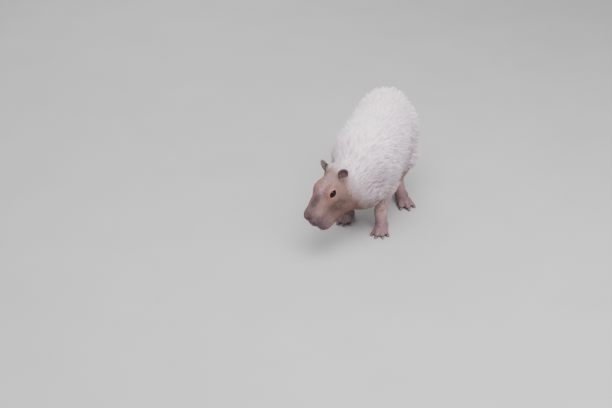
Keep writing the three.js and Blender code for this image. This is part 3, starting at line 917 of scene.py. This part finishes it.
def wet_eye():
    """A dark eye under its tear film: nearly black pupil in a dark brown iris, smooth and glossy."""
    material, tree = new_tree("wet_eye")
    around = weight(tree, "from_pupil")
    streaks = spread(tree, noise(tree, object_place(tree), 1.6), 0.4, 0.7)
    colour = over(tree, linear("060405"), spread(tree, around, 0.5, 0.62), "170d0a")
    colour = over(tree, colour, times(tree, spread(tree, around, 0.45, 0.7), streaks), "24150e")
    colour = over(tree, colour, spread(tree, around, 0.86, 0.98), "1a1012")
    return finished(material, colour, 0.1, 0.22)


def horn_claw():
    """Dark hoof-like horn, smooth with fine growth rings and a paler worn tip."""
    material, tree = new_tree("dark_horn")
    rings = noise(tree, object_place(tree), 1, 2.0, 0.5, stretch=(6, 1.2, 6))
    worn = spread(tree, weight(tree, "along"), 0.6, 1.0)
    colour = over(tree, linear("2e2527"), spread(tree, rings, 0.4, 0.65), "463a3a")
    colour = over(tree, colour, times(tree, worn, 0.7), "7b6a62")
    height = node(tree, "ShaderNodeBump", {"Strength": 0.4, "Distance": 0.0005, "Height": rings})
    return finished(material, colour, 0.42, height=height)


def whisker_hair():
    """Stiff bristle, dark at the root and pale at the tip, with a soft gloss."""
    material, tree = new_tree("whisker_bristle")
    return finished(material, over(tree, linear("5c4a48"), weight(tree, "along"), "b5a39c"), 0.45)


def studio_floor():
    """Smooth pale matt board, which takes soft shadows."""
    material, tree = new_tree("matt_board")
    cloud = noise(tree, object_place(tree), 300.0)
    colour = over(tree, linear("a6a5a3"), spread(tree, cloud, 0.3, 0.7), "abaaa8")
    return finished(material, colour, 0.85)


# The coat
def sample_roots(points, triangles, normals, density, count, rng):
    """Random places on the skin, denser where the density is higher."""
    a, b, c = (points[triangles[:, k]] for k in range(3))
    area = span(np.cross(b - a, c - a)) / 2
    chance = area * np.maximum(density(points)[triangles].min(axis=1), 0)
    total = np.cumsum(chance)
    pick = np.searchsorted(total, rng.random(count) * total[-1])
    u, v = rng.random((2, count))
    over_edge = u + v > 1
    u, v = np.where(over_edge, 1 - u, u), np.where(over_edge, 1 - v, v)
    shares = np.stack([1 - u - v, u, v], axis=1)[:, :, None]
    roots = (points[triangles[pick]] * shares).sum(axis=1)
    out = unit((normals[triangles[pick]] * shares).sum(axis=1))
    return roots, out


def lie(p, normals, rng):
    """The way the hair lies: back from the nose, along the trunk and down the rump and legs."""
    h = from_head(p)
    x = np.abs(p[:, 0])
    down = -0.12 - 0.4 * ramp(x, 40, 130) - 1.1 * ramp(p[:, 1], 250, 380)
    body = np.stack([np.zeros(len(p)), np.ones(len(p)), down], axis=1)
    neck = head_way((-1, 0, 0.0))
    body = mix(body, neck[None], ramp(h[:, 0], -150, 20)[:, None])
    rise = 0.15 * ramp(h[:, 2], 0, 50) - 0.35 * ramp(-h[:, 2], -10, 50)
    spread_out = 0.25 * np.sign(h[:, 1]) * ramp(np.abs(h[:, 1]), 0, 30)
    face = head_way(np.stack([-np.ones(len(p)), spread_out, rise], axis=1))
    way = mix(body, face, ramp(h[:, 0], -20, 60)[:, None])
    leg = (1 - ramp(p[:, 2], 150, 260)) * (1 - ramp(h[:, 0], 0, 40))
    way = mix(way, np.array([[0, 0.35, -1.0]]), leg[:, None])
    way = way + rng.normal(0, 0.09, way.shape)
    return unit(way - normals * dot(way, normals)[:, None])


def at_height(p, height):
    """Moves places straight out until they are that far from the skin."""
    for _ in range(2):
        g = slope(core, p, 1.0)
        p = p + unit(g) * (height - core(p))[:, None]
    return p


def gathered(roots, ways, lengths, share, pull, rng):
    """Draws tips together in long narrow clumps, and says how near each root is to a clump's edge."""
    count = max(4, int(len(roots) * share))
    chosen = rng.choice(len(roots), count, replace=False)
    narrow = np.array([1.0, 0.5, 1.0])
    tree = KDTree(count)
    for i, k in enumerate(chosen):
        tree.insert(roots[k] * narrow, i)
    tree.balance()
    nearest = chosen[np.array([tree.find(r)[1] for r in roots * narrow])]
    offset = roots[nearest] - roots
    lateral = offset - ways * dot(offset, ways)[:, None]
    shift = lateral * pull
    most = 0.4 * lengths
    far = span(shift)
    shift = shift * np.minimum(1, most / np.maximum(far, 1e-6))[:, None]
    aside = span(lateral)
    edge = np.clip(aside / np.maximum(np.percentile(aside, 88), 1e-6), 0, 1)
    return shift, edge


def tuft_geometry(roots, normals, ways, shift, lengths, widths, lifts, thick):
    """Thin bent blades, ridged on top, each one closed."""
    count = len(roots)
    points = np.empty((count, TUFT_CORNERS, 3))
    for k, (along, wide, rise) in enumerate(TUFT_STATIONS):
        flat = roots + ways * (lengths * along)[:, None] + shift * along**2
        height = np.where(rise > 0, lifts * rise, -1.0)
        p = at_height(flat, height) if k else flat - normals * 1.2
        if wide == 0:
            points[:, -1] = p
            continue
        across = unit(np.cross(normals, ways)) * (widths * wide / 2)[:, None]
        up = normals * (thick * wide)
        points[:, 3 * k] = p + across
        points[:, 3 * k + 1] = p - across
        points[:, 3 * k + 2] = p + up
    faces = [(0, 2, 1)]
    for k in (0, 3):
        for a, b in ((0, 1), (1, 2), (2, 0)):
            faces += [(k + a, k + b, k + 3 + a), (k + b, k + 3 + b, k + 3 + a)]
    faces += [(6, 7, 9), (7, 8, 9), (8, 6, 9)]
    triangles = np.array(faces)[None, :, ::-1] + np.arange(count)[:, None, None] * TUFT_CORNERS
    return points.reshape(-1, 3), triangles.reshape(-1, 3)


def rolled_out(across, up, along, start, reach, cone=0.6):
    """Places round an axis laid flat: their turn round it and how far along it they are."""
    turn = np.arctan2(across, up) / (2 * math.pi) + 0.5
    return np.stack([turn, (along - cone * np.hypot(across, up) + start) / reach], axis=1)


def unwrap(p):
    """Each place on the skin as a spot on a flat pattern: head, trunk and legs on their own sheets."""
    h = from_head(p)
    x, y, z = p.T
    leg_x = np.where(x > 0, 95, -95)
    leg_y = np.where(y > 60, 205, -80)
    head = rolled_out(h[:, 1], h[:, 2], h[:, 0], 120, 400)
    trunk = rolled_out(x + 4, z - 320, y, 420, 900)
    leg = rolled_out(x - leg_x, y - leg_y, z, 0, 260, cone=0)
    on_face = h[:, 0] > 20
    on_leg = (z < 190) & ~on_face
    spot = np.where(on_leg[:, None], leg, np.where(on_face[:, None], head, trunk))
    spot = np.clip(spot, 0, 1)
    sheet = np.where(on_face, 1, np.where(on_leg, 2, 0))
    column = on_leg * ((x > 0) * 1 + (y > 60) * 2)
    u = 0.01 + spot[:, 0] * np.where(on_leg, 0.24, 0.98) + column * 0.25
    tall = np.array([0.38, 0.38, 0.2])[sheet]
    v = np.array([0.005, 0.395, 0.79])[sheet] + spot[:, 1] * tall
    return np.stack([u, v], axis=1)


def coat_piece(name, roots, geometry, out, looks):
    points, triangles = geometry
    piece = mesh_object(name, points, triangles)
    mesh = piece.data
    for key, values in {**markings(roots), **looks}.items():
        add_attribute(mesh, key, np.repeat(values, TUFT_CORNERS))
    add_attribute(mesh, "along", np.tile(TUFT_ALONG, len(roots)))
    corner_uv = np.repeat(unwrap(roots), TUFT_CORNERS, axis=0)
    corner_uv[:, 0] += (np.tile(TUFT_ASIDE, len(roots)) - 0.5) * BAKE_PATCH
    corner_uv[:, 1] += (np.tile(TUFT_ALONG, len(roots)) - 0.5) * BAKE_PATCH
    layer = mesh.uv_layers.new(name="OFBake")
    layer.uv.foreach_set("vector", corner_uv[triangles.ravel()].astype(np.float32).ravel())
    soften(mesh, np.repeat(out, TUFT_CORNERS, axis=0))
    mesh.materials.append(hair_material)
    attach(piece, "root")


def soften(mesh, out):
    """Turns the shading of thin blades towards the skin below, as light is scattered among hairs."""
    flat = np.empty(len(mesh.vertices) * 3, np.float32)
    mesh.vertex_normals.foreach_get("vector", flat)
    mesh.normals_split_custom_set_from_vertices(unit(mix(flat.reshape(-1, 3), out, 0.7)).tolist())


def grow(label, skin_net, normals, density, slot, seed, count, share, pull, clump_shade, thick, stand_out=0.0):
    """One kind of hair over one region, cut into pieces that are each small enough.

    The share of its tufts are the middles of clumps, and the pull is how far the tips bend to them.
    The dark edges of the clumps are painted shade, as the clumps shade one another; a number of its own sets
    how strong. Some tufts stand out from the rest.
    """
    rng = np.random.default_rng(seed)
    points, triangles = skin_net
    roots, out = sample_roots(points, triangles, normals, density, count, rng)
    ways = lie(roots, out, rng)
    lengths = hair_length(roots) * rng.uniform(0.75, 1.15, count)
    widths = hair_width(roots) * rng.uniform(0.75, 1.2, count)
    shift, edge = gathered(roots, ways, lengths, share, pull, rng)
    lifts = hair_lift(roots) * rng.uniform(0.8, 1.05, count) * (1 - 0.3 * edge)
    wild = rng.random(count) < stand_out
    lifts = np.where(wild, hair_lift(roots) * rng.uniform(1.15, 1.9, count), lifts)
    # painted shade between the clumps, stronger low on the flanks and about the neck
    shade = 0.4 + 0.85 * markings(roots)["flank_shade"] + 0.6 * bump(roots[:, 1], -200, 80)
    looks = {"tint": np.clip(rng.normal(0.5, 0.2, count), 0, 1), "edge": edge * clump_shade * shade}
    corners, triangles = tuft_geometry(roots, out, ways, shift, lengths, widths, lifts, thick)
    corners = corners.reshape(-1, TUFT_CORNERS, 3)
    order = np.lexsort((roots[:, 1], roots[:, 0] > -4))
    for number, part in enumerate(np.array_split(order, math.ceil(count / MOST_TUFTS))):
        geometry = (corners[part].reshape(-1, 3), triangles[:len(part) * TUFT_TRIANGLES])
        chosen = {key: values[part] for key, values in looks.items()}
        coat_piece(f"{label}_{number + 1}", roots[part], geometry, out[part], chosen)


def bare_places(p):
    """1 where no hair grows, at the eyes, nostrils and mouth, and less than 1 in the ear cups."""
    h = from_head(p)
    bare = np.zeros(len(p))
    for s in (1, -1):
        e = in_eye(h, s)
        from_eye = span(e)
        ahead = 5 * ramp(e[:, 0], -6, 14)
        bare = np.maximum(bare, (from_eye < 40) * (1 - ramp(lid_gap(e) - ahead, 2.2, 4.5)))
        bare = np.maximum(bare, 1 - ramp(from_eye - EYE_RADIUS, 1.4, 2.4))  # the socket
        bare = np.maximum(bare, 1 - ramp(nostril(h, s), 1.5, 5))
        bare = np.maximum(bare, 1 - ramp(mouth[s](h), 1.5, 4.5))
    return np.maximum(bare, 0.65 * (1 - ramp(ear_cup(h), 0.3, 1.0)))


def furry(p):
    """0 on the face, 1 where the long coat begins behind the cheeks and the poll."""
    h = from_head(p)
    start = 92 - 56 * ramp(h[:, 2], -10, 50)
    return ramp(start - h[:, 0], 0, 76)


def throat(p):
    """1 on the throat and the chest, that hang low but wear the long coat."""
    return ramp(-p[:, 1], 130, 170) * ramp(p[:, 2], 100, 140)


def hair_length(p):
    """From about a centimetre on the face to five on the back, short again on the legs and feet."""
    h = from_head(p)
    high = np.maximum(ramp(p[:, 2], 140, 320), 0.6 * throat(p))
    length = mix(9.5 - 3 * ramp(h[:, 0], 150, 220), mix(18, 50, high), furry(p))
    foot = (1 - ramp(p[:, 2], 50, 110)) * (h[:, 0] < 0)
    length = mix(length, 6.5, foot)
    eye = np.minimum(*[span(h - eye_at(s) - 15 * eye_out(s)) for s in (1, -1)])
    return length * (1 - 0.45 * bump(eye, 0, 26)) - 2.5 * ear_marking(h)


def hair_width(p):
    return 0.85 + hair_length(p) * 0.042


def hair_lift(p):
    """How far the tips stand off the skin."""
    loose = 1.2 + 0.06 * hair_length(p)
    return loose + (COAT_DEPTH - 3.5) * coat_share(p)


# Where each kind of hair grows, from 0 to 1
def on_long(p):
    return ramp(furry(p), 0.15, 0.6) * np.maximum(ramp(p[:, 2], 170, 245), throat(p))


def on_face(p):
    h = from_head(p)
    face = ramp(h[:, 0], -60, 0) * (p[:, 2] > 75) * (1 - 0.8 * on_long(p))
    gland = markings(p)["gland"]
    return face * (1 - bare_places(p)) * (1 - 0.85 * gland) * (1 - 0.5 * ear_marking(h))


def on_low(p):
    h = from_head(p)
    low = (1 - 0.9 * ramp(p[:, 2], 175, 245)) * (1 - ramp(h[:, 0], -40, 10)) * (1 - 0.9 * throat(p))
    return low * ramp(p[:, 2], 66, 110)


def on_foot(p):
    return ramp(p[:, 2], 16, 30) * (1 - ramp(p[:, 2], 80, 110)) * (p[:, 2] < 112)


# Eyes, claws and whiskers
def tube_faces(rows, sides):
    """Triangles between the rings of a tube whose corners follow one another."""
    faces = []
    for i in range(rows):
        for k in range(sides):
            a, b = i * sides + k, i * sides + (k + 1) % sides
            faces += [(a, b, a + sides), (b, b + sides, a + sides)]
    return faces


def eye_ball(side, s):
    """The whole eye, with a slight bulge where the cornea is."""
    rows, sides = 34, 56
    out = head_way(eye_out(s))
    up = unit(np.cross(out, head_way((1, 0, -0.16))))
    along = np.cross(up, out)
    points, from_pupil = [], []
    for i in range(rows + 1):
        polar = math.pi * i / rows
        bulge = EYE_RADIUS + 0.9 * math.exp(-((polar / 0.62) ** 4))
        for k in range(sides):
            turn = 2 * math.pi * k / sides
            ring = along * math.cos(turn) + up * math.sin(turn)
            points.append(on_head(eye_at(s)) + bulge * (out * math.cos(polar) + ring * math.sin(polar)))
            from_pupil.append(math.sin(min(polar, math.pi / 2)) / math.sin(1.05))
    eye = mesh_object("eyeball_" + side, np.array(points), np.array(tube_faces(rows, sides)))
    add_attribute(eye.data, "from_pupil", from_pupil)
    merge_poles(eye)
    eye.data.materials.append(wet_eye_material)
    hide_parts("eye_" + side)
    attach(eye, "root")


def merge_poles(obj):
    """Joins corners in the same place and turns the faces outwards."""
    b = bmesh.new()
    b.from_mesh(obj.data)
    bmesh.ops.remove_doubles(b, verts=b.verts, dist=1e-6)
    bmesh.ops.recalc_face_normals(b, faces=b.faces)
    b.to_mesh(obj.data)
    b.free()


def claw_piece(name, toe):
    """A blunt horn cone, flat below, that grows out of its toe."""
    way, radius, _, _, pad = toe
    side = np.cross(way, (0, 0, 1))
    rows, sides = 12, 16
    reach = radius + CLAW_LENGTH - 6
    points, along = [], []
    for i in range(rows + 1):
        t = i / rows
        centre = np.array([pad[0], pad[1], 0]) + way * (-1 + (reach + 1) * t)
        height = radius * (1 - t) ** 0.8 + 4.6 * t
        half_wide = np.interp(t, (0, 0.55, 0.85, 1), (6.2, 7.6, 6.2, 3.2))
        half_high = np.interp(t, (0, 0.5, 0.85, 1), (4.9, 5.2, 3.6, 1.6))
        for k in range(sides):
            turn = 2 * math.pi * k / sides
            low = 0.72 if math.sin(turn) < 0 else 1.0
            ring = side * math.cos(turn) * half_wide + np.array([0, 0, 1]) * math.sin(turn) * half_high * low
            points.append(centre + (0, 0, height) + ring)
            along.append(t)
    faces = tube_faces(rows, sides)
    for first in (0, rows * sides):
        for k in range(1, sides - 1):
            faces.append((first, first + k, first + k + 1))
    claw = mesh_object("horn_" + name, np.array(points), np.array(faces))
    add_attribute(claw.data, "along", along)
    merge_poles(claw)
    claw.data.materials.append(horn_material)
    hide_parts(name)
    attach(claw, "root")


def whiskers():
    """Stiff bristles in three short rows on both sides of the upper lip."""
    rng = np.random.default_rng(5)
    roots, ways = [], []
    for s in (1, -1):
        for row in range(3):
            for column in range(5):
                start = (198 + 9 * column, 0, 4 - 9 * row)
                roots.append(leave_head(np.array(start) + rng.normal(0, 1.5, 3), (0.12, s, 0)))
                way = np.array([0.25, s, -0.45 - 0.2 * row]) + rng.normal(0, 0.14, 3)
                ways.append(unit(way))
    lengths = rng.uniform(24, 46, len(roots))
    stations = (0, 0.3, 0.6, 0.85, 1)
    sides = 4
    points, along = [], []
    for root, way, length in zip(roots, ways, lengths):
        side = unit(np.cross(way, (0.3, 0.2, 1)))
        top = np.cross(side, way)
        for t in stations:
            centre = root + way * length * t - np.array([0.35, 0, 0.25]) * length * 0.5 * t * t - way
            radius = 0.26 * (1 - 0.85 * t)
            for k in range(sides):
                turn = 2 * math.pi * k / sides
                points.append(centre + (side * math.cos(turn) + top * math.sin(turn)) * radius)
                along.append(t)
    corners = len(stations) * sides
    last = corners - sides
    ends = [(0, 2, 1), (0, 3, 2), (last, last + 1, last + 2), (last, last + 2, last + 3)]
    one = np.array(tube_faces(len(stations) - 1, sides) + ends)[:, ::-1]
    triangles = np.concatenate([one + corners * i for i in range(len(roots))])
    piece = mesh_object("whiskers", on_head(np.array(points)), triangles)
    add_attribute(piece.data, "along", along)
    piece.data.materials.append(whisker_material)
    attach(piece, "root")


# Camera, light and floor
def place_camera():
    target = Vector(placed(VIEW_MIDDLE))
    flat = math.cos(CAMERA_ELEVATION)
    back = Vector((math.sin(CAMERA_AZIMUTH) * flat, -math.cos(CAMERA_AZIMUTH) * flat,
                   math.sin(CAMERA_ELEVATION)))
    data = bpy.data.cameras.new("camera")
    data.sensor_width = SENSOR_WIDTH
    data.lens = FOCAL_PIXELS / PHOTO_WIDTH * SENSOR_WIDTH
    camera = add_object("camera", data)
    camera.location = target + back * CAMERA_DISTANCE
    camera.rotation_euler = back.to_track_quat("Z", "Y").to_euler()
    bpy.context.scene.camera = camera


def soft_light(name, place, size, power, colour=(1, 1, 1)):
    data = bpy.data.lights.new(name, "AREA")
    data.size = size
    data.energy = power
    data.color = colour
    light = add_object(name, data)
    light.location = place
    aim = Vector((0, 0, 0.25)) - Vector(place)
    light.rotation_euler = aim.to_track_quat("-Z", "Y").to_euler()


def studio():
    corners = np.array([(-9, -9, 0), (9, -9, 0), (9, 9, 0), (-9, 9, 0)]) * 1000.0 - SHIFT
    floor = mesh_object("floor", corners, np.array([(0, 1, 2), (0, 2, 3)]), smooth=False)
    floor.data.materials.append(studio_floor())
    world = bpy.data.worlds.new("studio_sky")
    world.use_nodes = True
    background = world.node_tree.nodes["Background"]
    background.inputs["Color"].default_value = linear("e8ecf2")
    background.inputs["Strength"].default_value = 0.8
    bpy.context.scene.world = world
    soft_light("sky_panel", (0.6, -1.2, 3.4), 3.0, 300, (1.0, 0.97, 0.985))
    soft_light("side_panel", (3.0, -1.6, 1.8), 2.0, 44, (0.96, 0.98, 1.0))
    soft_light("back_panel", (-2.2, 2.4, 2.2), 2.0, 48)


place_camera()
studio()
wet_eye_material = wet_eye()
horn_material = horn_claw()
whisker_material = whisker_hair()
hair_material = hair_coat()

whole_skin = mesh_object("skin", *skin_mesh())
close_neck(whole_skin)
skin_points = corners_of(whole_skin.data)
for marking, values in markings(skin_points).items():
    add_attribute(whole_skin.data, marking, values)
whole_skin.data.materials.append(fur_skin())
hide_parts("torso", "neck", "head", "ear_left", "ear_right", *LEGS,
            *[name.replace("leg", "foot") for name in LEGS])
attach(whole_skin, "root")

for side_name, side_sign in (("left", 1), ("right", -1)):
    eye_ball(side_name, side_sign)
for leg_name in LEGS:
    for toe_number, one_toe in enumerate(toes_of(leg_name)):
        claw_piece(f"{leg_name.replace('leg', 'foot')}_claw_{toe_number + 1}", one_toe)
whiskers()

skin_triangles = np.empty(len(whole_skin.data.polygons) * 3, np.int32)
whole_skin.data.polygons.foreach_get("vertices", skin_triangles)
skin_net = (skin_points, skin_triangles.reshape(-1, 3))
skin_normals = unit(slope(core, skin_points, 1.0))
grow("coat_long", skin_net, skin_normals, on_long, "coat", 21, 60000,
     share=0.05, pull=0.8, clump_shade=1.0, thick=0.45, stand_out=0.07)
grow("coat_face", skin_net, skin_normals, on_face, "face", 23, 15600,
     share=0.08, pull=0.55, clump_shade=0.95, thick=0.25)
grow("coat_low", skin_net, skin_normals, on_low, "leg", 22, 12000,
     share=0.07, pull=0.6, clump_shade=0.7, thick=0.35)
grow("coat_foot", skin_net, skin_normals, on_foot, "foot", 24, 2400,
     share=0.1, pull=0.4, clump_shade=0.4, thick=0.2)
